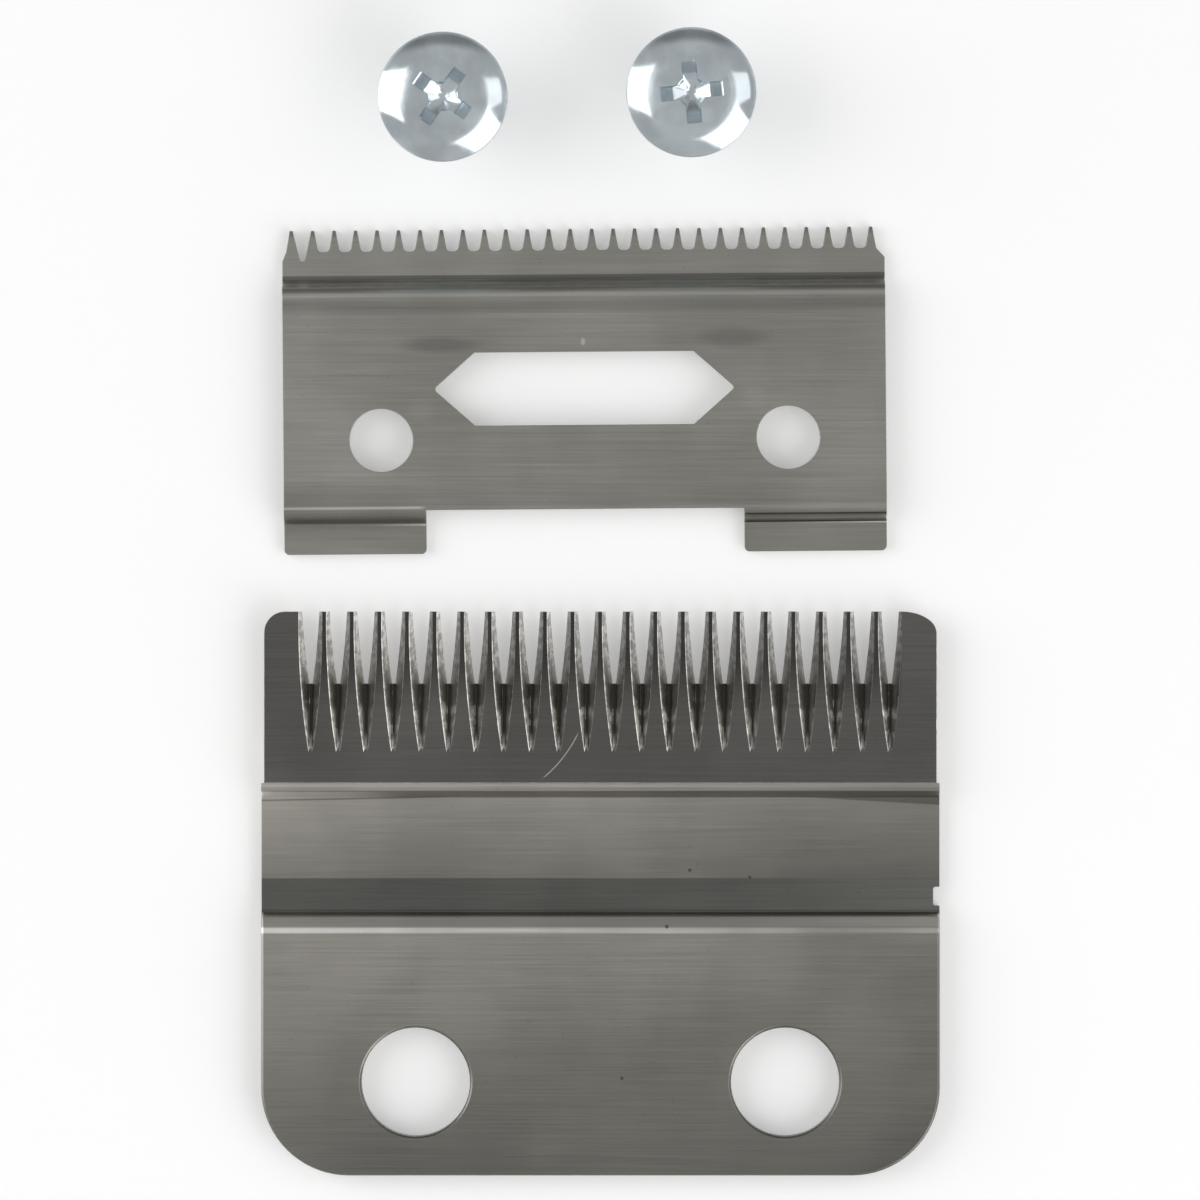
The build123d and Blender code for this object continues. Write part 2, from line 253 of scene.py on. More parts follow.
class Wiring:
    """Adds nodes to one tree and links them."""

    def __init__(self, tree):
        self.tree = tree

    def add(self, kind, inputs=None, **settings):
        """A node of that kind, with its settings and its inputs, which are values or sockets."""
        node = self.tree.nodes.new(kind)
        for key, value in settings.items():
            setattr(node, key, value)
        for key, value in (inputs or {}).items():
            self.put(node.inputs[key], value)
        return node

    def put(self, socket, value):
        """Links a socket to this input, or sets its value."""
        if isinstance(value, bpy.types.NodeSocket):
            self.tree.links.new(value, socket)
        else:
            socket.default_value = value

    def math(self, operation, first, second=0.0):
        """One Math node's result."""
        return self.add("ShaderNodeMath", {0: first, 1: second}, operation=operation).outputs[0]

    def product(self, first, *others):
        """Values multiplied with each other."""
        for other in others:
            first = self.math("MULTIPLY", first, other)
        return first

    def ramp(self, value, low, high, to_low=0.0, to_high=1.0, smooth=True):
        """The value carried from one range to another, held at its ends."""
        node = self.add(
            "ShaderNodeMapRange",
            {"Value": value, "From Min": low, "From Max": high, "To Min": to_low, "To Max": to_high},
            interpolation_type="SMOOTHSTEP" if smooth else "LINEAR",
        )
        return node.outputs["Result"]

    def vector(self, **parts):
        """A vector of parts named X, Y and Z."""
        return self.add("ShaderNodeCombineXYZ", parts).outputs[0]

    def parts(self, vector):
        """The parts of a vector, by the names X, Y and Z."""
        return self.add("ShaderNodeSeparateXYZ", {0: vector}).outputs

    def vector_math(self, operation, first, second=(0.0, 0.0, 0.0), output="Vector"):
        """One Vector Math node's result."""
        node = self.add("ShaderNodeVectorMath", {0: first, 1: second}, operation=operation)
        return node.outputs[output]

    def place(self):
        """Where the shaded point lies on its piece."""
        return self.add("ShaderNodeTexCoord").outputs["Object"]

    def facing(self):
        """The parts of the shaded point's normal."""
        return self.parts(self.add("ShaderNodeNewGeometry").outputs["Normal"])

    def noise(self, vector, scale, detail, roughness=0.5):
        """Noise at a place."""
        values = {"Vector": vector, "Scale": scale, "Detail": detail, "Roughness": roughness}
        return self.add("ShaderNodeTexNoise", values).outputs["Fac"]

    def mix_colour(self, factor, first, second, blend="MIX"):
        """Two colours mixed."""
        node = self.add(
            "ShaderNodeMix",
            {0: factor, 6: first, 7: second},
            data_type="RGBA",
            blend_type=blend,
            clamp_factor=True,
        )
        return node.outputs[2]

    def mix_value(self, factor, first, second):
        """Two values mixed."""
        node = self.add(
            "ShaderNodeMix", {0: factor, 2: first, 3: second}, data_type="FLOAT", clamp_factor=True
        )
        return node.outputs[0]

    def toned(self, base, tone, mask=1.0):
        """A colour made brighter or darker by a tone, where the mask is 1."""
        if isinstance(tone, bpy.types.NodeSocket):
            channels = {"Red": tone, "Green": tone, "Blue": tone}
            grey = self.add("ShaderNodeCombineColor", channels).outputs[0]
        else:
            grey = opaque((tone, tone, tone))
        return self.mix_colour(mask, base, grey, "MULTIPLY")


def new_group(name, kind, inputs, outputs):
    """A node group with named sockets. Returns its wiring, its inputs and its output node.

    An input is given by its default value, or by the kind of its socket if it has none.
    """
    tree = bpy.data.node_groups.new(name, kind)
    for socket_name, given in inputs.items():
        socket_type = SOCKETS.get(type(given), given)
        socket = tree.interface.new_socket(socket_name, in_out="INPUT", socket_type=socket_type)
        if socket_type != given:
            socket.default_value = given
    for socket_name, socket_type in outputs.items():
        tree.interface.new_socket(socket_name, in_out="OUTPUT", socket_type=socket_type)
    wiring = Wiring(tree)
    start = wiring.add("NodeGroupInput")
    end = wiring.add("NodeGroupOutput")
    return wiring, start.outputs, end


def place_group(wiring, name, make, **inputs):
    """The outputs of a node group, made once and placed in a material, with its inputs by name."""
    group = bpy.data.node_groups.get(name) or make(name)
    node = wiring.add("ShaderNodeGroup", node_tree=group)
    for key, value in inputs.items():
        wiring.put(node.inputs[key.replace("_", " ").capitalize()], value)
    return node.outputs


def grain_group(name):
    """Brush marks along X, with slow blotches and fine specks."""
    wiring, inputs, end = new_group(
        name,
        "ShaderNodeTree",
        {"Grain length": 9 * MM, "Grain width": 0.1 * MM},
        dict.fromkeys(("Streak", "Blotch", "Speck"), "NodeSocketFloat"),
    )
    place = wiring.place()
    along = wiring.math("DIVIDE", 1.0, inputs["Grain length"])
    across = wiring.math("DIVIDE", 1.0, inputs["Grain width"])
    stretched = wiring.vector_math("MULTIPLY", place, wiring.vector(X=along, Y=across, Z=across))
    speck = wiring.noise(place, 2600.0, 2.0)
    wiring.put(end.inputs["Streak"], wiring.noise(stretched, 1.0, 5.0, 0.62))
    wiring.put(end.inputs["Blotch"], wiring.noise(place, 95.0, 3.0))
    wiring.put(end.inputs["Speck"], wiring.ramp(speck, 0.66, 0.78))
    return wiring.tree


def band_group(name):
    """A band across the blade, between two places along Y, with soft edges and a slope along X."""
    wiring, inputs, end = new_group(
        name,
        "ShaderNodeTree",
        {"Rear": 0.0, "Front": 10 * MM, "Softness": 0.1 * MM, "Slope": 0.0},
        {"Mask": "NodeSocketFloat"},
    )
    place = wiring.parts(wiring.place())
    along = wiring.math("SUBTRACT", place["Y"], wiring.product(inputs["Slope"], place["X"]))
    sides = []
    for edge, low, high in (("Rear", 0.0, 1.0), ("Front", 1.0, 0.0)):
        start = wiring.math("SUBTRACT", inputs[edge], inputs["Softness"])
        stop = wiring.math("ADD", inputs[edge], inputs["Softness"])
        sides.append(wiring.ramp(along, start, stop, low, high))
    wiring.put(end.inputs["Mask"], wiring.product(*sides))
    return wiring.tree


def spot_group(name):
    """A soft round spot about one point, drawn out along X or Y."""
    wiring, inputs, end = new_group(
        name,
        "ShaderNodeTree",
        {"Centre": (0.0, 0.0, 0.0), "Half size": (MM, MM, 10 * MM)},
        {"Mask": "NodeSocketFloat"},
    )
    away = wiring.vector_math("SUBTRACT", wiring.place(), inputs["Centre"])
    scaled = wiring.vector_math("DIVIDE", away, inputs["Half size"])
    distance = wiring.vector_math("LENGTH", scaled, output="Value")
    wiring.put(end.inputs["Mask"], wiring.ramp(distance, 0.35, 1.0, 1.0, 0.0))
    return wiring.tree


def rolled_grain(wiring, steel):
    """The grain of the blades' steel."""
    return place_group(
        wiring, "Rolled grain", grain_group, grain_length=steel.grain_length, grain_width=steel.grain_width
    )


def band_mask(wiring, rear, front, softness, slope=0.0):
    """A band across a blade, between two places along Y."""
    group = place_group(
        wiring, "Band along Y", band_group, rear=rear, front=front, softness=softness, slope=slope
    )
    return group["Mask"]


def spot_mask(wiring, x, y, face, half_x, half_y):
    """A soft spot on a level face: X, Y and half sizes in millimetres, the face's height in metres."""
    through = 20.0
    group = place_group(
        wiring,
        "Spot",
        spot_group,
        centre=(x * MM, y * MM, face),
        half_size=Vector((half_x, half_y, through)) * MM,
    )
    return group["Mask"]


def scratch_mask(wiring, start, end, bow, width):
    """A hairline arc from start to end in the blade's plane, bowed sideways by a small height."""
    chord = end - start
    radius = (chord.length_squared / 4 + bow * bow) / (2 * bow)
    side = Vector((-chord.y, chord.x)).normalized()
    middle = (start + end) / 2
    centre = middle - side * (radius - bow)
    flat = wiring.vector_math("MULTIPLY", wiring.place(), FLAT)
    from_centre = wiring.vector_math("DISTANCE", flat, (*centre, 0.0), "Value")
    from_middle = wiring.vector_math("DISTANCE", flat, (*middle, 0.0), "Value")
    off = wiring.math("ABSOLUTE", wiring.math("SUBTRACT", from_centre, radius))
    line = wiring.ramp(off, 0.3 * width, width, 1.0, 0.0)
    reach = chord.length / 2
    return wiring.product(line, wiring.ramp(from_middle, 0.75 * reach, reach, 1.0, 0.0))


def new_material(name, metallic=1.0):
    """A material with a Principled shader, mostly of metal. Returns it, its wiring and the shader."""
    material = bpy.data.materials.new(name)
    material.use_nodes = True
    wiring = Wiring(material.node_tree)
    shader = material.node_tree.nodes["Principled BSDF"]
    shader.inputs["Metallic"].default_value = metallic
    return material, wiring, shader


def add_bump(wiring, shader, strength, height):
    """Fine relief on a material's surface."""
    bump = wiring.add("ShaderNodeBump", {"Strength": strength, "Distance": 0.01 * MM, "Height": height})
    wiring.put(shader.inputs["Normal"], bump.outputs["Normal"])


def finish_steel(wiring, shader, base, roughness, grain):
    """Grain on colour, roughness and surface, the same on both blades."""
    light = wiring.ramp(grain["Streak"], 0.30, 0.70, 0.94, 1.06, smooth=False)
    cloud = wiring.ramp(grain["Blotch"], 0.30, 0.72, 0.94, 1.05)
    toned = wiring.toned(base, wiring.product(light, cloud))
    specks = wiring.product(grain["Speck"], 0.25)
    speckled = wiring.mix_colour(specks, toned, opaque((0.62, 0.61, 0.60)), "MULTIPLY")
    wiring.put(shader.inputs["Base Color"], speckled)
    uneven = wiring.ramp(grain["Streak"], 0.25, 0.75, -0.07, 0.07, smooth=False)
    smeared = wiring.ramp(grain["Blotch"], 0.30, 0.70, -0.04, 0.04)
    rough = wiring.math("ADD", wiring.math("ADD", roughness, uneven), smeared)
    wiring.put(shader.inputs["Roughness"], rough)
    add_bump(wiring, shader, 0.18, grain["Streak"])


def painted_shade_tone(wiring, steel, place):
    """Painted shade as a tone: it darkens the plate to its rear edge, the floor to the ramp, and both to the
    right.
    """
    plate_front = COMB_TIPS - steel.plate_front
    ramp_front, floor_front = COMB_TIPS - steel.ramp_front, COMB_TIPS - steel.floor_front
    plate = wiring.ramp(place["Y"], COMB_LOW.y, plate_front, 1.0 - steel.painted_shade_tone, 1.0, smooth=False)
    floor = wiring.ramp(
        place["Y"], ramp_front, floor_front, 1.0 - steel.floor_shade_tone, 1.12, smooth=False
    )
    floor = wiring.product(floor, wiring.ramp(place["X"], 8 * MM, 20 * MM, 1.0, 0.88))
    along = wiring.mix_value(wiring.ramp(place["Y"], plate_front, ramp_front), plate, floor)
    half = steel.side_shade_tone / 2
    across = wiring.ramp(place["X"], COMB_LOW.x, COMB_HIGH.x, 1.0 + half, 1.0 - half, smooth=False)
    return wiring.product(along, across)


def tooth_flanks(wiring, steel, facing):
    """Colour of the flanks of the comb's gaps, chipped all over, with painted shade where they face left."""
    # Painted shade: flanks that face left are darker
    lit_side = wiring.ramp(facing["X"], -0.25, 0.05)
    flank = wiring.mix_colour(lit_side, opaque(steel.flank_colour, 0.42), opaque(steel.flank_colour))
    chips = wiring.noise(wiring.place(), 2200.0, 3.0)
    return wiring.toned(flank, wiring.ramp(chips, 0.40, 0.62, 0.70, 1.25))


def ground_faces(wiring, steel, place, ramp, right_end):
    """Colour of the comb's ground faces: the tooth strip with its darker tips, and the ramp, lighter towards
    its right end as a painted reflection.
    """
    from_middle = wiring.math("ABSOLUTE", place["X"])
    tips = wiring.product(
        wiring.ramp(place["Y"], COMB_TIPS - 0.62 * steel.tooth_strip, COMB_TIPS - 0.22 * steel.tooth_strip),
        wiring.ramp(from_middle, steel.gap_row - 0.1 * MM, steel.gap_row, 1.0, 0.0),
    )
    strip_steel = wiring.mix_colour(tips, opaque(steel.ground_colour), opaque(steel.tip_colour))
    # Painted reflection: the ramp is lighter towards its right end
    ramp_steel = wiring.mix_colour(right_end, opaque(steel.ramp_colour), opaque(steel.ramp_colour, 1.4))
    return wiring.mix_colour(ramp, strip_steel, ramp_steel)


def gap_marks(wiring, steel, base, place, facing, strip, upward):
    """The comb's gaps: painted shade deep in them and darkest on their floors, painted shade on their right
    edges, and painted glints on nicks that face right.
    """
    deep = wiring.ramp(place["Z"], COMB_FACE - 0.50 * MM, COMB_FACE - 0.12 * MM, 1.0, 0.0)
    behind_tips = wiring.ramp(
        place["Y"], COMB_TIPS - 0.43 * steel.tooth_strip, COMB_TIPS - 0.28 * steel.tooth_strip, 1.0, 0.0
    )
    # Painted shade deep in the gaps behind the tips, darkest on their floors
    bottom = wiring.product(deep, strip, upward, behind_tips)
    base = wiring.mix_colour(bottom, base, opaque(steel.gap_shade_colour))
    floor_shade = wiring.product(bottom, wiring.ramp(facing["Z"], 0.80, 0.93))
    base = wiring.mix_colour(floor_shade, base, opaque(steel.painted_shade_colour))
    # Painted shade on the right edges of the gaps, which face left
    tilted = wiring.ramp(facing["Z"], 0.50, 0.70)
    shaded_right_edge = wiring.product(strip, tilted, wiring.ramp(facing["X"], -0.30, -0.15, 1.0, 0.0))
    base = wiring.toned(base, 0.40, shaded_right_edge)
    # Painted glints on nicks that face right, near the roots
    nicks = wiring.ramp(wiring.noise(wiring.place(), 1000.0, 2.0), 0.54, 0.62)
    faces_right = wiring.ramp(facing["X"], 0.10, 0.40)
    near_root = wiring.ramp(place["Y"], COMB_TIPS - 6.2 * MM, COMB_TIPS - 5.0 * MM, 1.0, 0.0)
    painted_glint = wiring.product(nicks, faces_right, near_root, strip, 0.9)
    return wiring.mix_colour(painted_glint, base, opaque((0.98, 0.96, 0.90)))


def channel_marks(wiring, steel, base, place, right_end):
    """Painted highlights on the channel's walls, at their ends and along the front wall's top, and painted
    shade along the foot of the front wall.
    """
    strip_end = COMB_TIPS - steel.tooth_strip
    foot = COMB_TIPS - steel.floor_front
    rear_wall = band_mask(
        wiring, COMB_TIPS - steel.plate_front + 0.1 * MM, COMB_TIPS - steel.ramp_rear - 0.1 * MM, 0.1 * MM
    )
    # Painted highlight: the rear wall is brighter at its right end
    end_highlight = wiring.product(rear_wall, right_end)
    base = wiring.mix_colour(end_highlight, base, opaque(steel.comb_colour, 1.3))
    # Painted highlight at the front wall's left end
    front_wall = band_mask(wiring, foot, strip_end - 0.55 * MM, 0.04 * MM)
    left_end = wiring.ramp(place["X"], COMB_LOW.x + 3.5 * MM, COMB_LOW.x + 10.5 * MM, 1.0, 0.0)
    base = wiring.mix_colour(wiring.product(front_wall, left_end), base, opaque(steel.highlight_colour))
    # Painted highlight along the top of the front wall
    wall_top_highlight = band_mask(wiring, strip_end - 0.26 * MM, strip_end + 0.08 * MM, 0.06 * MM)
    base = wiring.toned(base, 1.28, wall_top_highlight)
    # The painted shade is a thin leaning line on the left, and a wedge on the floor on the right
    line = band_mask(wiring, foot + 0.195 * MM, foot + 0.31 * MM, 0.04 * MM, slope=0.02)
    line = wiring.product(line, wiring.ramp(place["X"], -13 * MM, -9 * MM, 1.0, 0.0))
    ahead_of_slope = band_mask(wiring, foot + 0.78 * MM, COMB_TIPS + 5 * MM, 0.05 * MM, slope=-0.056)
    below_wall = band_mask(wiring, foot - 2 * MM, foot + 0.02 * MM, 0.03 * MM)
    foot_shade = wiring.math("MAXIMUM", line, wiring.product(ahead_of_slope, below_wall))
    return wiring.toned(base, 0.56, foot_shade)


def plate_marks(wiring, steel, base, place, grain, level):
    """Crest worn by rubbing with a painted highlight at the plate's front, painted shade in the crease,
    hairline scratch and pits.
    """
    front, crease_line = COMB_TIPS - steel.plate_front, COMB_TIPS - steel.ramp_rear
    # The crest is worn, and its brightness, strongest on the left, is partly wear and partly painted
    # highlight
    rubbed_highlight = wiring.product(
        band_mask(wiring, front - 0.32 * MM, front + 0.03 * MM, 0.1 * MM),
        wiring.ramp(place["X"], COMB_LOW.x, 6 * MM, 0.9, 0.38, smooth=False),
        wiring.ramp(grain["Blotch"], 0.35, 0.60, 0.55, 1.0),
    )
    base = wiring.mix_colour(rubbed_highlight, base, opaque(steel.highlight_colour))
    # Painted shade in the crease behind the ramp
    crease = band_mask(wiring, crease_line - 0.12 * MM, crease_line + 0.16 * MM, 0.09 * MM)
    base = wiring.mix_colour(wiring.product(crease, 0.45), base, opaque(steel.painted_shade_colour))
    scratch = scratch_mask(
        wiring, SCRATCH_START * MM, SCRATCH_END * MM, SCRATCH_BOW * MM, SCRATCH_WIDTH * MM
    )
    base = wiring.mix_colour(wiring.product(scratch, level), base, opaque((0.68, 0.66, 0.60)))
    for x, y, size in COMB_PITS:
        pit = spot_mask(wiring, x, y, COMB_FACE, size, size)
        base = wiring.mix_colour(wiring.product(pit, 0.7), base, opaque((0.03, 0.03, 0.03)))
    return base


def comb_steel(steel):
    """Rolled steel with painted shade that darkens it to the rear and to the right, darker ground faces, and
    marks of use with painted highlights and shade on the cutting face.
    """
    material, wiring, shader = new_material("comb_steel_finish")
    grain = rolled_grain(wiring, steel)
    place = wiring.parts(wiring.place())
    facing = wiring.facing()
    level = wiring.ramp(facing["Z"], 0.925, 0.985)
    upward = wiring.ramp(facing["Z"], 0.05, 0.25)
    right_end = wiring.ramp(place["X"], 5 * MM, 21 * MM)
    strip = band_mask(wiring, COMB_TIPS - steel.tooth_strip + 0.04 * MM, COMB_TIPS + MM, 0.04 * MM)
    ramp = band_mask(wiring, COMB_TIPS - steel.ramp_rear, COMB_TIPS - steel.ramp_front, 0.06 * MM)
    ground = wiring.product(wiring.math("MAXIMUM", strip, ramp), level)
    # Painted shade: darker to the plate's rear edge, the floor to the ramp, and to the right
    tone = painted_shade_tone(wiring, steel, place)
    plain = wiring.toned(opaque(steel.comb_colour), tone)
    base = wiring.mix_colour(strip, opaque(steel.comb_colour), tooth_flanks(wiring, steel, facing))
    base = wiring.toned(base, tone)
    base = wiring.mix_colour(ground, base, ground_faces(wiring, steel, place, ramp, right_end))
    base = gap_marks(wiring, steel, base, place, facing, strip, upward)
    base = channel_marks(wiring, steel, base, place, right_end)
    base = plate_marks(wiring, steel, base, place, grain, level)
    # The marks and the painted highlights and shade belong to the cutting face, so sides and skin face keep
    # the plain steel, toned only by the painted shade
    base = wiring.mix_colour(upward, plain, base)
    roughness = wiring.mix_value(ground, steel.rolled_roughness, steel.ground_roughness)
    finish_steel(wiring, shader, base, roughness, grain)
    return material


def cutter_steel(steel):
    """Rolled steel with smears, darker to the right and on the feet, with painted highlights and shade in
    bands along tips and bends.
    """
    material, wiring, shader = new_material("cutter_steel_finish")
    grain = rolled_grain(wiring, steel)
    base = opaque(steel.cutter_colour)
    for x, y, half_x, half_y, tone in CUTTER_SMEARS:
        smear = spot_mask(wiring, x, y, CUTTER_HIGH.z, half_x, half_y)
        base = wiring.mix_colour(wiring.product(smear, 0.8), base, opaque(steel.cutter_colour, tone))
    across = wiring.parts(wiring.place())["X"]
    to_right = wiring.ramp(across, CUTTER_LOW.x + 2 * MM, CUTTER_LOW.x + 15 * MM)
    feet = band_mask(wiring, CUTTER_LOW.y - MM, CUTTER_LOW.y + 4.2 * MM, 1.4 * MM)
    for mask in (to_right, feet):
        base = wiring.mix_colour(mask, base, opaque((0.88, 0.88, 0.87)), "MULTIPLY")
    lean = math.tan(steel.cutter_turn)
    tips = CUTTER_HIGH.y - lean * CUTTER_HIGH.x
    widths = {
        "whole": 1.0,
        "left foot": wiring.ramp(across, -12.2 * MM, -11.4 * MM, 1.0, 0.0),
        "right foot": wiring.ramp(across, 9.4 * MM, 9.8 * MM),
    }
    # Painted highlights and painted shade in bands along the tips and bends
    for rear, front, softness, tone, width in CUTTER_BEND_SHADING:
        band = band_mask(wiring, tips - rear * MM, tips - front * MM, softness * MM, lean)
        base = wiring.toned(base, tone, wiring.product(band, widths[width]))
    # The marks and the painted highlights and shade belong to the upper face, so sides and lower face keep
    # the plain steel
    upward = wiring.ramp(wiring.facing()["Z"], 0.05, 0.25)
    base = wiring.mix_colour(upward, opaque(steel.cutter_colour), base)
    finish_steel(wiring, shader, base, steel.rolled_roughness, grain)
    return material


def screw_plating(screws):
    """Bright bluish plating with faint turning rings and cloudy patches."""
    material, wiring, shader = new_material("screw_plating_finish")
    radius = wiring.add("ShaderNodeAttribute", attribute_name=FROM_AXIS).outputs["Fac"]
    outward = {"W": wiring.product(radius, 9000.0), "Detail": 3.0}
    rings = wiring.add("ShaderNodeTexNoise", outward, noise_dimensions="1D").outputs["Fac"]
    cloud = wiring.noise(wiring.place(), 420.0, 4.0)
    tone = wiring.product(
        wiring.ramp(cloud, 0.3, 0.7, 0.86, 1.06), wiring.ramp(rings, 0.3, 0.7, 0.94, 1.04)
    )
    wiring.put(shader.inputs["Base Color"], wiring.toned(opaque(screws.plating_colour), tone))
    uneven = wiring.ramp(cloud, 0.3, 0.7, -0.03, 0.06)
    wiring.put(shader.inputs["Roughness"], wiring.math("ADD", uneven, screws.plating_roughness))
    add_bump(wiring, shader, 0.12, rings)
    return material


def add_object(name, data):
    """A new object in the scene, at the origin."""
    piece = bpy.data.objects.new(name, data)
    bpy.context.scene.collection.objects.link(piece)
    return piece


def mesh_of(work, name):
    """The edited mesh as a new one of that name."""
    mesh = bpy.data.meshes.new(name)
    work.to_mesh(mesh)
    work.free()
    return mesh


def settled(piece):
    """Turns the piece's modifiers into a plain mesh."""
    graph = bpy.context.evaluated_depsgraph_get()
    mesh = bpy.data.meshes.new_from_object(
        piece.evaluated_get(graph), preserve_all_data_layers=True, depsgraph=graph
    )
    piece.modifiers.clear()
    old = piece.data
    piece.data = mesh
    bpy.data.meshes.remove(old)
    mesh.name = piece.name
    return piece


def add_nodes(piece, tree, values):
    """Puts a Geometry Nodes tree on the piece, with its inputs by name, and settles it."""
    modifier = piece.modifiers.new(tree.name, "NODES")
    modifier.node_group = tree
    for item in tree.interface.items_tree:
        if item.item_type == "SOCKET" and item.in_out == "INPUT" and item.name in values:
            modifier[item.identifier] = values[item.name]
    return settled(piece)


def mark_edges(work, small, large, is_large):
    """Writes how wide the round on each sharp edge is, as a share of the largest."""
    weights = work.edges.layers.float.new("bevel_weight_edge")
    for edge in work.edges:
        if len(edge.link_faces) == 2 and edge.calc_face_angle() > BLADE_EDGE:
            edge[weights] = 1.0 if is_large(edge) else small / large


def join_flats(work):
    """Merges loose triangles and makes one face of each flat."""
    bmesh.ops.remove_doubles(work, verts=work.verts, dist=TOUCHING)
    bmesh.ops.dissolve_limit(work, angle_limit=ONE_FLAT, verts=work.verts, edges=work.edges)
    work.normal_update()


def fill_gaps(work, steel):
    """Takes the tooth gaps out of the comb's solid, which leaves its tooth strip plain and closed."""
    root = COMB_TIPS - steel.gap_length - 0.15 * MM
    gap_points = set()
    for face in work.faces:
        middle = face.calc_center_median()
        if abs(middle.x) < steel.gap_row and middle.y > root and abs(face.normal.x) > 0.5:
            gap_points.update(face.verts)
    bmesh.ops.delete(work, geom=list(gap_points), context="VERTS")
    tips = [vertex for vertex in work.verts if COMB_TIPS - vertex.co.y < TOUCHING]
    left = sorted((vertex for vertex in tips if vertex.co.x < 0), key=lambda vertex: vertex.co.z)
    right = sorted((vertex for vertex in tips if vertex.co.x > 0), key=lambda vertex: vertex.co.z)
    if len(left) != 2 or len(right) != 2:
        raise RuntimeError("The comb's tooth strip has no plain front edge to close")
    work.faces.new((left[0], left[1], right[1], right[0]))
    bmesh.ops.holes_fill(work, edges=[edge for edge in work.edges if edge.is_boundary], sides=0)
    bmesh.ops.recalc_face_normals(work, faces=work.faces)


def wear_corner(work, steel):
    """Draws the round of the comb's right front corner out over its whole guard, as it is worn."""
    reach = steel.corner_round + LEVEL
    front = [vertex for vertex in work.verts if COMB_TIPS - vertex.co.y < reach]
    side = max(vertex.co.x for vertex in front)
    for vertex in front:
        inward = side - vertex.co.x
        if inward < reach:
            vertex.co.x = side - inward * steel.worn_round / steel.corner_round


def gap_wheel(steel):
    """The ground-out shape of one tooth gap in millimetres: a V with a narrow floor on the wheel's arc."""
    clear = COMB_FACE + 0.2 * MM
    deepest = COMB_TIPS - steel.gap_setback
    run = steel.gap_length - steel.gap_setback
    radius = (run**2 + steel.gap_depth**2) / (2 * steel.gap_depth)
    rear, front = deepest - run - 0.3 * MM, COMB_TIPS + 0.8 * MM
    low = steel.gap_floor / 2
    work = bmesh.new()
    rows = []
    steps = 18
    for step in range(steps + 1):
        y = rear + (front - rear) * step / steps
        floor = COMB_FACE - steel.gap_depth + radius - math.sqrt(radius**2 - (y - deepest) ** 2)
        high = low + (clear - floor) * math.tan(steel.gap_flank)
        corners = ((-low, floor), (low, floor), (high, clear), (-high, clear))
        rows.append([work.verts.new(Vector((x, y, z)) / MM) for x, z in corners])
    join_rings(work, rows)
    work.faces.new(rows[0])
    work.faces.new(rows[-1])
    bmesh.ops.recalc_face_normals(work, faces=work.faces)
    return mesh_of(work, "gap_wheel")


def join_rings(work, rings):
    """Faces between each closed ring of points and the next."""
    for low, high in zip(rings, rings[1:]):
        for i in range(len(low)):
            after = (i + 1) % len(low)
            work.faces.new((low[i], high[i], high[after], low[after]))


def gap_row_tree():
    """Geometry Nodes: sets the wheel's shape along the tooth row and cuts the row out of the blank."""
    wiring, inputs, end = new_group(
        "Ground tooth gaps",
        "GeometryNodeTree",
        {
            "Blank": "NodeSocketGeometry",
            "Wheel": "NodeSocketObject",
            "Count": 22,
            "Pitch": 1.83,
            "Steel": "NodeSocketMaterial",
        },
        {"Comb": "NodeSocketGeometry"},
    )
    wheel = wiring.add("GeometryNodeObjectInfo", {"Object": inputs["Wheel"]}).outputs["Geometry"]
    first = wiring.product(wiring.math("SUBTRACT", inputs["Count"], 1.0), inputs["Pitch"], -0.5)
    row = wiring.add(
        "GeometryNodeMeshLine",
        {
            "Count": inputs["Count"],
            "Start Location": wiring.vector(X=first),
            "Offset": wiring.vector(X=inputs["Pitch"]),
        },
    ).outputs["Mesh"]
    wheels = wiring.add("GeometryNodeInstanceOnPoints", {"Points": row, "Instance": wheel}).outputs[0]
    cutters = wiring.add("GeometryNodeRealizeInstances", {0: wheels}).outputs[0]
    cut = wiring.add(
        "GeometryNodeMeshBoolean",
        {"Mesh 1": inputs["Blank"], "Mesh 2": cutters},
        operation="DIFFERENCE",
        solver="EXACT",
    ).outputs["Mesh"]
    put_out(wiring, cut, inputs["Steel"], end.inputs["Comb"])
    return wiring.tree


def put_out(wiring, geometry, material, socket):
    """Ends a Geometry Nodes tree: everything made real and given its material."""
    real = wiring.add("GeometryNodeRealizeInstances", {0: geometry}).outputs[0]
    finished = wiring.add("GeometryNodeSetMaterial", {"Geometry": real, "Material": material}).outputs[0]
    wiring.put(socket, finished)


def with_ground_gaps(work, steel, material):
    """The comb with its gaps ground to a sharper V than the solid's, cut at a thousand times its size."""
    fill_gaps(work, steel)
    wear_corner(work, steel)
    bmesh.ops.scale(work, vec=Vector((1.0, 1.0, 1.0)) / MM, verts=work.verts)
    mesh = mesh_of(work, "comb_blank")
    mesh.materials.clear()
    blank = add_object("comb_blank", mesh)
    wheel = add_object("gap_wheel", gap_wheel(steel))
    row = {"Wheel": wheel, "Count": steel.gap_count, "Pitch": steel.gap_pitch / MM, "Steel": material}
    add_nodes(blank, gap_row_tree(), row)
    ground = bmesh.new()
    ground.from_mesh(blank.data)
    bmesh.ops.scale(ground, vec=Vector((MM, MM, MM)), verts=ground.verts)
    for tool in (blank, wheel):
        old = tool.data
        bpy.data.objects.remove(tool)
        bpy.data.meshes.remove(old)
    return ground


def with_worn_gap(work, steel):
    """The cutter with the flanks of its worn gap running straight down to the gap's deep round bottom."""
    corners = []
    for edge in work.edges:
        low, high = sorted((vertex.co for vertex in edge.verts), key=lambda place: place.z)
        upright = high.z - low.z > 0.5 * MM
        if upright and abs(low.x - steel.worn_gap) < 0.5 * MM and low.y > CUTTER_HIGH.y - 2 * MM:
            corners.append(edge)
    bmesh.ops.dissolve_edges(work, edges=corners, use_verts=True)
    return work


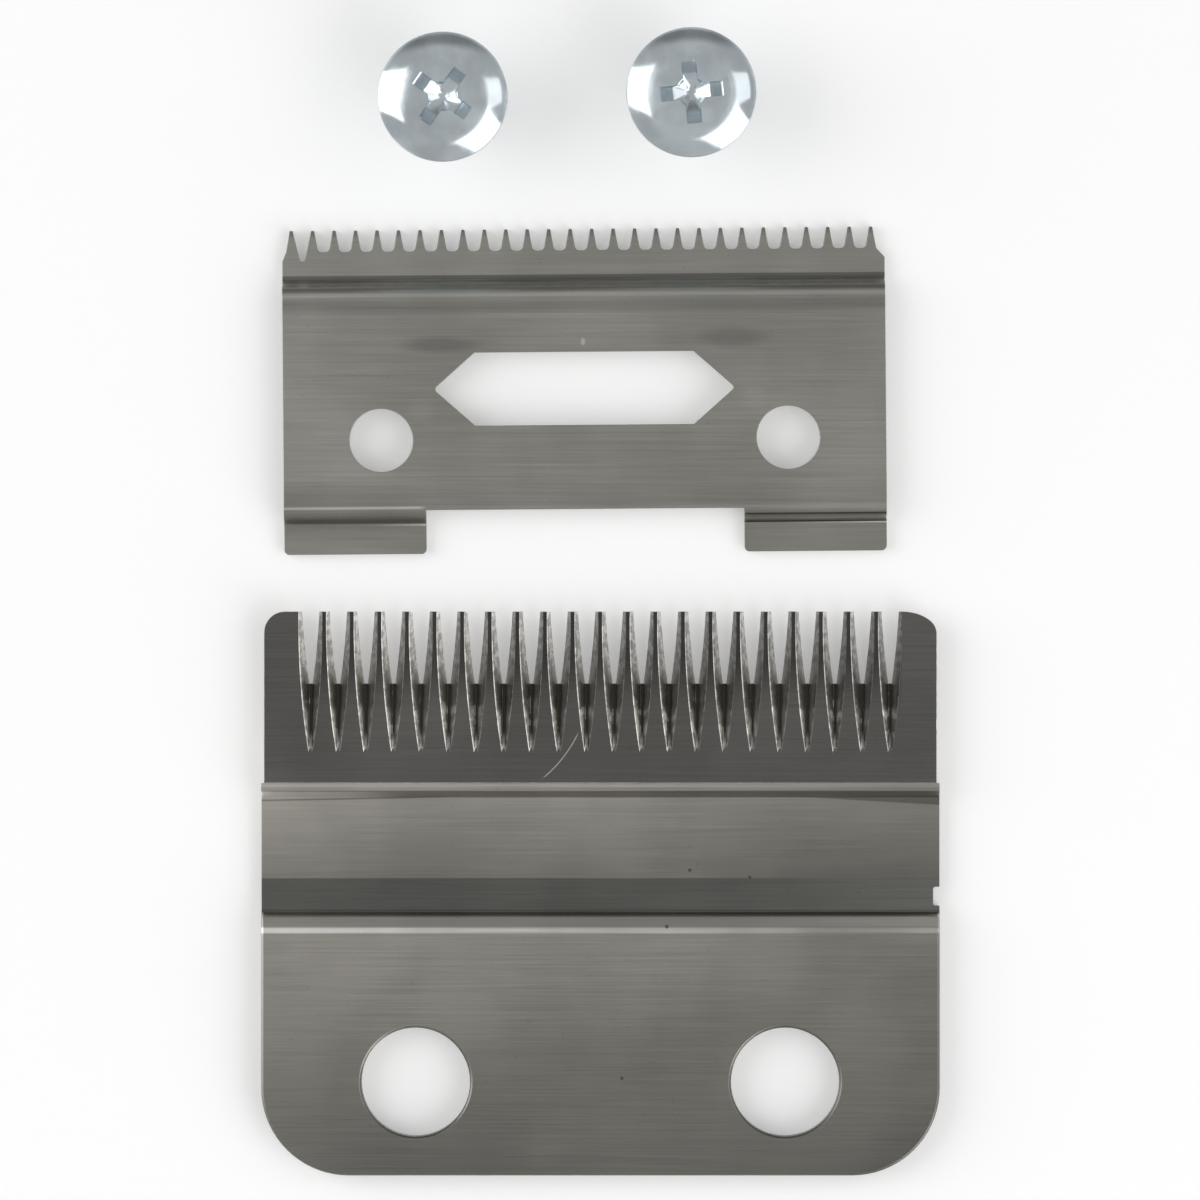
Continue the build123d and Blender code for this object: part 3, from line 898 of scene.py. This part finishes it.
def blade_with_broken_edges(node, name, material, reshape, small, large, is_large):
    """A blade's reshaped solid as one closed mesh with a tiny round on sharp edges, wider on some."""
    work = bmesh.new()
    work.from_mesh(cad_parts[node].data)
    join_flats(work)
    work = reshape(work)
    join_flats(work)
    mark_edges(work, small, large, is_large)
    for face in work.faces:
        face.smooth = True
        face.material_index = 0
    mesh = mesh_of(work, name)
    if "custom_normal" in mesh.attributes:
        mesh.attributes.remove(mesh.attributes["custom_normal"])
    mesh.materials.clear()
    mesh.materials.append(material)
    piece = add_object(name, mesh)
    bevel = piece.modifiers.new("Edge break", "BEVEL")
    bevel.width = large
    bevel.segments = 2
    bevel.limit_method = "WEIGHT"
    bevel.use_clamp_overlap = False
    bevel.miter_outer = "MITER_ARC"
    bevel.face_strength_mode = "FSTR_ALL"
    normals = piece.modifiers.new("Face normals", "WEIGHTED_NORMAL")
    normals.keep_sharp = True
    normals.use_face_influence = True
    return level_normals(settled(piece))


def level_normals(piece):
    """Gives the corners of level faces the face's own normal, so that no edge inside a flat shows."""
    mesh = piece.data
    normals = [corner.vector.copy() for corner in mesh.corner_normals]
    for polygon in mesh.polygons:
        if abs(polygon.normal.z) > 0.9999:
            for loop in polygon.loop_indices:
                normals[loop] = polygon.normal
    mesh.normals_split_custom_set(normals)
    return piece


def recess_outline(span, wing, core, steps):
    """Points of a cross with a round middle, steps of them, starting on the middle of one wing's end."""
    half_span, half_wing, core_radius = span / 2, wing / 2, core / 2
    per_half = steps // 8
    end_steps = per_half // 4
    core_steps = per_half // 4
    side_steps = per_half - end_steps - core_steps
    core_start = math.asin(half_wing / core_radius)
    inner = math.sqrt(core_radius**2 - half_wing**2)
    half = [Vector((half_span, half_wing * i / end_steps)) for i in range(end_steps)]
    for i in range(side_steps):
        half.append(Vector((half_span + (inner - half_span) * i / side_steps, half_wing)))
    for i in range(core_steps + 1):
        turn = core_start + (math.pi / 4 - core_start) * i / core_steps
        half.append(Vector((core_radius * math.cos(turn), core_radius * math.sin(turn))))
    quarter = half + [Vector((point.y, point.x)) for point in reversed(half[1:-1])]
    points = []
    for turn in range(4):
        spin = Matrix.Rotation(turn * math.pi / 2, 2)
        points += [spin @ point for point in quarter]
    return points


def head_height(radius, head_top, screws):
    """Height of the head's upper face at a distance from its axis: crown, then round shoulder."""
    crown_centre = head_top - screws.crown_radius
    crown_edge = screws.crown_diameter / 2
    if radius <= crown_edge:
        return crown_centre + math.sqrt(screws.crown_radius**2 - radius**2)
    share_in = 1 - screws.shoulder_radius / screws.crown_radius
    shoulder_x = share_in * crown_edge
    shoulder_z = crown_centre + share_in * math.sqrt(screws.crown_radius**2 - crown_edge**2)
    return shoulder_z + math.sqrt(screws.shoulder_radius**2 - (radius - shoulder_x) ** 2)


def head_rings(screws, head_radius, head_top):
    """Rings of points of a screw's head, from the recess's floor over the dome to the thread's root below."""
    wall_rows, dome_rows = 6, 30
    mouth_break, edge = 0.05 * MM, 0.06 * MM
    floor_rise, floor_middle = 0.45, 0.45
    steps = screws.steps_round
    turns = [2 * math.pi * i / steps for i in range(steps)]
    around = [Vector((math.cos(turn), math.sin(turn))) for turn in turns]
    shrink = screws.recess_depth * math.tan(screws.recess_taper)
    mouth = recess_outline(screws.recess_span, screws.recess_wing, screws.recess_core, steps)
    floor = recess_outline(
        screws.recess_span - 2 * shrink, 0.86 * screws.recess_wing, 0.88 * screws.recess_core, steps
    )
    floor_z = head_top - screws.recess_depth
    inner = [floor_middle * point for point in floor]
    rings = [[Vector((*point, floor_z + floor_rise * point.length)) for point in inner]]
    for row in range(wall_rows + 1):
        part = row / wall_rows
        ring = []
        for low, high in zip(floor, mouth):
            bottom = floor_z + floor_rise * low.length
            top = head_height(high.length, head_top, screws) - mouth_break
            ring.append(Vector((*low.lerp(high, part), bottom + (top - bottom) * part)))
        rings.append(ring)
    mouth = [point * (1 + mouth_break / point.length) for point in mouth]
    for row in range(dome_rows + 1):
        ring = []
        for way, start in zip(around, mouth):
            spot = start.lerp(way * (head_radius - edge), row / dome_rows)
            ring.append(Vector((*spot, head_height(spot.length, head_top, screws))))
        rings.append(ring)
    under = screws.shank_length
    root = screws.thread_radius - screws.thread_depth
    rim_z = head_height(head_radius - edge, head_top, screws)
    side = (
        (head_radius - 0.3 * edge, rim_z - 0.6 * edge),
        (head_radius, rim_z - 1.6 * edge),
        (head_radius, under + edge),
        (head_radius - edge, under),
        (root + 3 * edge, under),
        (root, under),
    )
    for radius, height in side:
        rings.append([Vector((*(radius * way), height)) for way in around])
    return rings


def screw_head(screws, head_radius, head_top):
    """One screw's head as a mesh that is open where the shank joins it."""
    work = bmesh.new()
    rings = head_rings(screws, head_radius, head_top)
    rings = [[work.verts.new(point) for point in ring] for ring in rings]
    middle = work.verts.new((0.0, 0.0, head_top - screws.recess_depth))
    inner = rings[0]
    for point, after in zip(inner, inner[1:] + inner[:1]):
        work.faces.new((middle, point, after))
    join_rings(work, rings)
    bmesh.ops.recalc_face_normals(work, faces=work.faces)
    return mesh_of(work, "screw_head")


def thread_tree():
    """Geometry Nodes: puts a threaded shank under the head, and sets the screw in two places."""
    wiring, inputs, end = new_group(
        "Threaded screws",
        "GeometryNodeTree",
        {
            "Head": "NodeSocketGeometry",
            "Steps round": 128,
            "Rows": 200,
            "Rows a turn": 16.0,
            "Pitch": 0.7 * MM,
            "Depth": 0.4 * MM,
            "Radius": 2 * MM,
            "Shank length": 6 * MM,
            "End chamfer": 0.5 * MM,
            "Left place": (0.0, 0.0, 0.0),
            "Right place": (0.0, 0.0, 0.0),
            "Left turn": 0.0,
            "Right turn": 0.0,
            "Plating": "NodeSocketMaterial",
        },
        {"Screws": "NodeSocketGeometry"},
    )
    sheet = wiring.add(
        "GeometryNodeMeshGrid",
        {
            "Size X": 1.0,
            "Size Y": 1.0,
            "Vertices X": wiring.math("ADD", inputs["Steps round"], 1.0),
            "Vertices Y": inputs["Rows"],
        },
    ).outputs["Mesh"]
    where = wiring.add("GeometryNodeInputPosition").outputs[0]
    across = wiring.parts(where)
    around = wiring.math("ADD", across["X"], 0.5)
    last_row = wiring.math("SUBTRACT", inputs["Rows"], 1.0)
    row = wiring.math("ROUND", wiring.product(wiring.math("ADD", across["Y"], 0.5), last_row))
    # Rows follow the thread's slope, so crest and root run along them; the first two rows close the end
    thread_row = wiring.math("SUBTRACT", wiring.math("SUBTRACT", row, 1.0), inputs["Rows a turn"])
    turns = wiring.math("DIVIDE", thread_row, inputs["Rows a turn"])
    free_height = wiring.product(wiring.math("ADD", turns, around), inputs["Pitch"])
    height = wiring.math("MINIMUM", wiring.math("MAXIMUM", free_height, 0.0), inputs["Shank length"])
    # Whole turns are added because the first ones are below zero
    phase = wiring.math("FRACT", wiring.math("ADD", turns, 64.0))
    from_crest = wiring.product(wiring.math("ABSOLUTE", wiring.math("SUBTRACT", phase, 0.5)), 2.0)
    ridge = wiring.ramp(from_crest, 0.16, 0.72, 1.0, 0.0, smooth=False)
    plain_neck = wiring.product(inputs["Pitch"], 0.45)
    run_out_end = wiring.math("SUBTRACT", inputs["Shank length"], plain_neck)
    run_out_start = wiring.math("SUBTRACT", run_out_end, inputs["Pitch"])
    run_out = wiring.ramp(height, run_out_start, run_out_end, 1.0, 0.0, smooth=False)
    root = wiring.math("SUBTRACT", inputs["Radius"], inputs["Depth"])
    threaded = wiring.math("ADD", root, wiring.product(ridge, run_out, inputs["Depth"]))
    end_radius = wiring.math("SUBTRACT", inputs["Radius"], inputs["End chamfer"])
    radius = wiring.math("MINIMUM", threaded, wiring.math("ADD", end_radius, height))
    radius = wiring.product(radius, wiring.math("GREATER_THAN", row, 0.5))
    turn = wiring.product(around, 2 * math.pi)
    wrapped = wiring.vector(
        X=wiring.product(radius, wiring.math("COSINE", turn)),
        Y=wiring.product(radius, wiring.math("SINE", turn)),
        Z=height,
    )
    shank = wiring.add("GeometryNodeSetPosition", {"Geometry": sheet, "Position": wrapped}).outputs[0]
    joined = wiring.add("GeometryNodeJoinGeometry")
    wiring.put(joined.inputs[0], shank)
    wiring.put(joined.inputs[0], inputs["Head"])
    screw = wiring.add(
        "GeometryNodeMergeByDistance", {"Geometry": joined.outputs[0], "Distance": 2 * TOUCHING}
    ).outputs[0]
    from_axis = wiring.vector_math("LENGTH", wiring.vector_math("MULTIPLY", where, FLAT), output="Value")
    marked = wiring.add(
        "GeometryNodeStoreNamedAttribute",
        {"Geometry": screw, "Name": FROM_AXIS, "Value": from_axis},
        data_type="FLOAT",
        domain="POINT",
    ).outputs[0]
    both = wiring.add("GeometryNodeJoinGeometry")
    for side in ("Left", "Right"):
        spin = wiring.vector(Z=inputs[f"{side} turn"])
        placed = wiring.add(
            "GeometryNodeTransform",
            {"Geometry": marked, "Translation": inputs[f"{side} place"], "Rotation": spin},
        ).outputs[0]
        wiring.put(both.inputs[0], placed)
    put_out(wiring, both.outputs[0], inputs["Plating"], end.inputs["Screws"])
    return wiring.tree


class CLIPPER_OT_comb_blade(Operator):
    """Finish the comb blade"""

    bl_idname = "clipper.comb_blade"
    bl_label = "Comb Blade"

    def execute(self, context):
        steel, _, _ = named_values(context)
        material = comb_steel(steel)
        piece = blade_with_broken_edges(
            "comb_blade",
            "comb_blade_finished",
            material,
            lambda work: with_ground_gaps(work, steel, material),
            steel.edge_break,
            steel.tooth_break,
            lambda edge: self.beside_gap(edge, steel),
        )
        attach(piece, BODY)
        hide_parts("comb_blade")
        return {"FINISHED"}

    def beside_gap(self, edge, steel):
        """Whether an edge runs along the left side of a tooth gap's mouth on the cutting face."""
        middle = (edge.verts[0].co + edge.verts[1].co) / 2
        flank = min((face.normal for face in edge.link_faces), key=lambda normal: normal.z)
        on_face = COMB_FACE - middle.z < LEVEL
        on_strip = COMB_TIPS - steel.tooth_strip < middle.y < COMB_TIPS - 10 * LEVEL
        in_row = abs(middle.x) < steel.gap_row and on_strip
        return on_face and in_row and 0.1 < flank.z < 0.7 and flank.x > 0


class CLIPPER_OT_cutter_blade(Operator):
    """Finish the cutter blade"""

    bl_idname = "clipper.cutter_blade"
    bl_label = "Cutter Blade"

    def execute(self, context):
        steel, _, _ = named_values(context)
        piece = blade_with_broken_edges(
            "cutter_blade",
            "cutter_blade_finished",
            cutter_steel(steel),
            lambda work: with_worn_gap(work, steel),
            steel.edge_break,
            steel.edge_break,
            lambda edge: False,
        )
        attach(piece, BODY)
        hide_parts("cutter_blade")
        return {"FINISHED"}


class CLIPPER_OT_mounting_screws(Operator):
    """Make the two mounting screws with their recess and thread"""

    bl_idname = "clipper.mounting_screws"
    bl_label = "Mounting Screws"

    def execute(self, context):
        _, screws, _ = named_values(context)
        middle = (SCREWS_LOW.x + SCREWS_HIGH.x) / 2
        points = [vertex.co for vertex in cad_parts["mounting_screws"].data.vertices]
        places = []
        for side in ([p for p in points if p.x < middle], [p for p in points if p.x > middle]):
            low = Vector((min(p.x for p in side), min(p.y for p in side)))
            high = Vector((max(p.x for p in side), max(p.y for p in side)))
            places.append((low + high) / 2)
            head_radius = (high.x - low.x) / 2
        head_top = self.crown_top(points, screws)
        piece = add_object("mounting_screws_threaded", screw_head(screws, head_radius, head_top))
        turns = math.ceil(screws.shank_length / screws.thread_pitch) + 2
        values = {
            "Steps round": screws.steps_round,
            "Rows": ROWS_A_TURN * turns + 1,
            "Rows a turn": float(ROWS_A_TURN),
            "Pitch": screws.thread_pitch,
            "Depth": screws.thread_depth,
            "Radius": screws.thread_radius,
            "Shank length": screws.shank_length,
            "End chamfer": screws.end_chamfer,
            "Left place": (*places[0], 0.0),
            "Right place": (*places[1], 0.0),
            "Left turn": screws.left_turn,
            "Right turn": screws.right_turn,
            "Plating": screw_plating(screws),
        }
        add_nodes(piece, thread_tree(), values)
        for polygon in piece.data.polygons:
            polygon.use_smooth = True
        piece.data.set_sharp_from_angle(angle=SCREW_EDGE)
        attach(piece, BODY)
        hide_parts("mounting_screws")
        return {"FINISHED"}

    def crown_top(self, points, screws):
        """Height that the crown's middle would have, from the highest point on the recess's open edge."""
        highest = max(p.z for p in points)
        reach = screws.recess_core / 2
        return highest + screws.crown_radius - math.sqrt(screws.crown_radius**2 - reach**2)


def soft_lamp(aim, name, azimuth, polar, width, height, radiance):
    """A rectangular soft box that shines at a point, with a given brightness."""
    tilt = math.radians(polar)
    turn = math.radians(azimuth)
    away = Vector((math.sin(tilt) * math.cos(turn), math.sin(tilt) * math.sin(turn), math.cos(tilt)))
    data = bpy.data.lights.new(name, "AREA")
    data.shape = "RECTANGLE"
    data.size = width
    data.size_y = height
    data.energy = math.pi * width * height * radiance
    lamp = add_object(name, data)
    lamp.location = aim + LAMP_DISTANCE * away
    lamp.rotation_euler = (-away).to_track_quat("-Z", "Y").to_euler()
    lamp.visible_camera = False


class CLIPPER_OT_stage(Operator):
    """Set the table, the lamps and the camera"""

    bl_idname = "clipper.stage"
    bl_label = "Stage"

    def execute(self, context):
        _, _, studio = named_values(context)
        scene = context.scene
        self.table(studio)
        self.sky(scene, studio)
        aim = Vector((studio.view_centre_x, studio.view_centre_y, 0.0))
        for box in SOFT_BOXES:
            soft_lamp(aim, *box)
        self.camera(scene, studio)
        scene.view_settings.view_transform = "Standard"
        return {"FINISHED"}

    def table(self, studio):
        """A wide pale table top."""
        half = 2.0
        corners = [(-half, -half, 0), (half, -half, 0), (half, half, 0), (-half, half, 0)]
        mesh = bpy.data.meshes.new("table_top")
        mesh.from_pydata(corners, [], [(0, 1, 2, 3)])
        material, wiring, shader = new_material("table_paper", metallic=0.0)
        shader.inputs["Base Color"].default_value = opaque(studio.floor_colour)
        shader.inputs["Roughness"].default_value = 0.9
        shader.inputs["Specular IOR Level"].default_value = 0.2
        shader.inputs["Emission Color"].default_value = WHITE
        rays = wiring.add("ShaderNodeLightPath").outputs
        seen = wiring.math("MAXIMUM", rays["Is Camera Ray"], rays["Is Glossy Ray"])
        seen = wiring.math("MAXIMUM", seen, rays["Is Transmission Ray"])
        wiring.put(shader.inputs["Emission Strength"], wiring.product(seen, studio.floor_glow))
        mesh.materials.append(material)
        add_object("table_top", mesh)

    def sky(self, scene, studio):
        """Even light from all round, dimmer low down beyond the screws."""
        world = bpy.data.worlds.new("studio_sky")
        scene.world = world
        world.use_nodes = True
        wiring = Wiring(world.node_tree)
        background = world.node_tree.nodes["Background"]
        beyond = wiring.parts(wiring.add("ShaderNodeTexCoord").outputs["Generated"])["Y"]
        shade = wiring.ramp(beyond, math.cos(math.radians(50)), math.cos(math.radians(25)))
        level = wiring.mix_value(shade, studio.sky_level, studio.shade_level)
        wiring.put(background.inputs["Strength"], level)
        background.inputs["Color"].default_value = WHITE

    def camera(self, scene, studio):
        """A long lens straight above the set."""
        data = bpy.data.cameras.new("view_camera")
        data.sensor_width = 36.0
        data.lens = data.sensor_width * studio.view_distance / studio.view_width
        data.clip_end = 10.0
        camera = add_object("view_camera", data)
        camera.location = (studio.view_centre_x, studio.view_centre_y, COMB_FACE + studio.view_distance)
        scene.camera = camera


class CLIPPER_PT_blade_set(Panel):
    """Lists the steps that make the set"""

    bl_idname = "CLIPPER_PT_blade_set"
    bl_label = "Clipper Blade Set"
    bl_space_type = "VIEW_3D"
    bl_region_type = "UI"
    bl_category = "Clipper"

    def draw(self, context):
        for step in STEPS:
            self.layout.operator(step.bl_idname)
        for group in named_values(context):
            box = self.layout.box()
            for name in group.__annotations__:
                box.prop(group, name)


STEPS = (CLIPPER_OT_comb_blade, CLIPPER_OT_cutter_blade, CLIPPER_OT_mounting_screws, CLIPPER_OT_stage)
CLASSES = (BladeSteel, ScrewFinish, StudioSetup, *STEPS, CLIPPER_PT_blade_set)


def register():
    for item in CLASSES:
        bpy.utils.register_class(item)
    bpy.types.Scene.clipper_steel = PointerProperty(type=BladeSteel)
    bpy.types.Scene.clipper_screws = PointerProperty(type=ScrewFinish)
    bpy.types.Scene.clipper_studio = PointerProperty(type=StudioSetup)


def unregister():
    del bpy.types.Scene.clipper_studio
    del bpy.types.Scene.clipper_screws
    del bpy.types.Scene.clipper_steel
    for item in reversed(CLASSES):
        bpy.utils.unregister_class(item)


def main():
    register()
    bpy.ops.clipper.comb_blade()
    bpy.ops.clipper.cutter_blade()
    bpy.ops.clipper.mounting_screws()
    bpy.ops.clipper.stage()


if __name__ == "__main__":
    main()
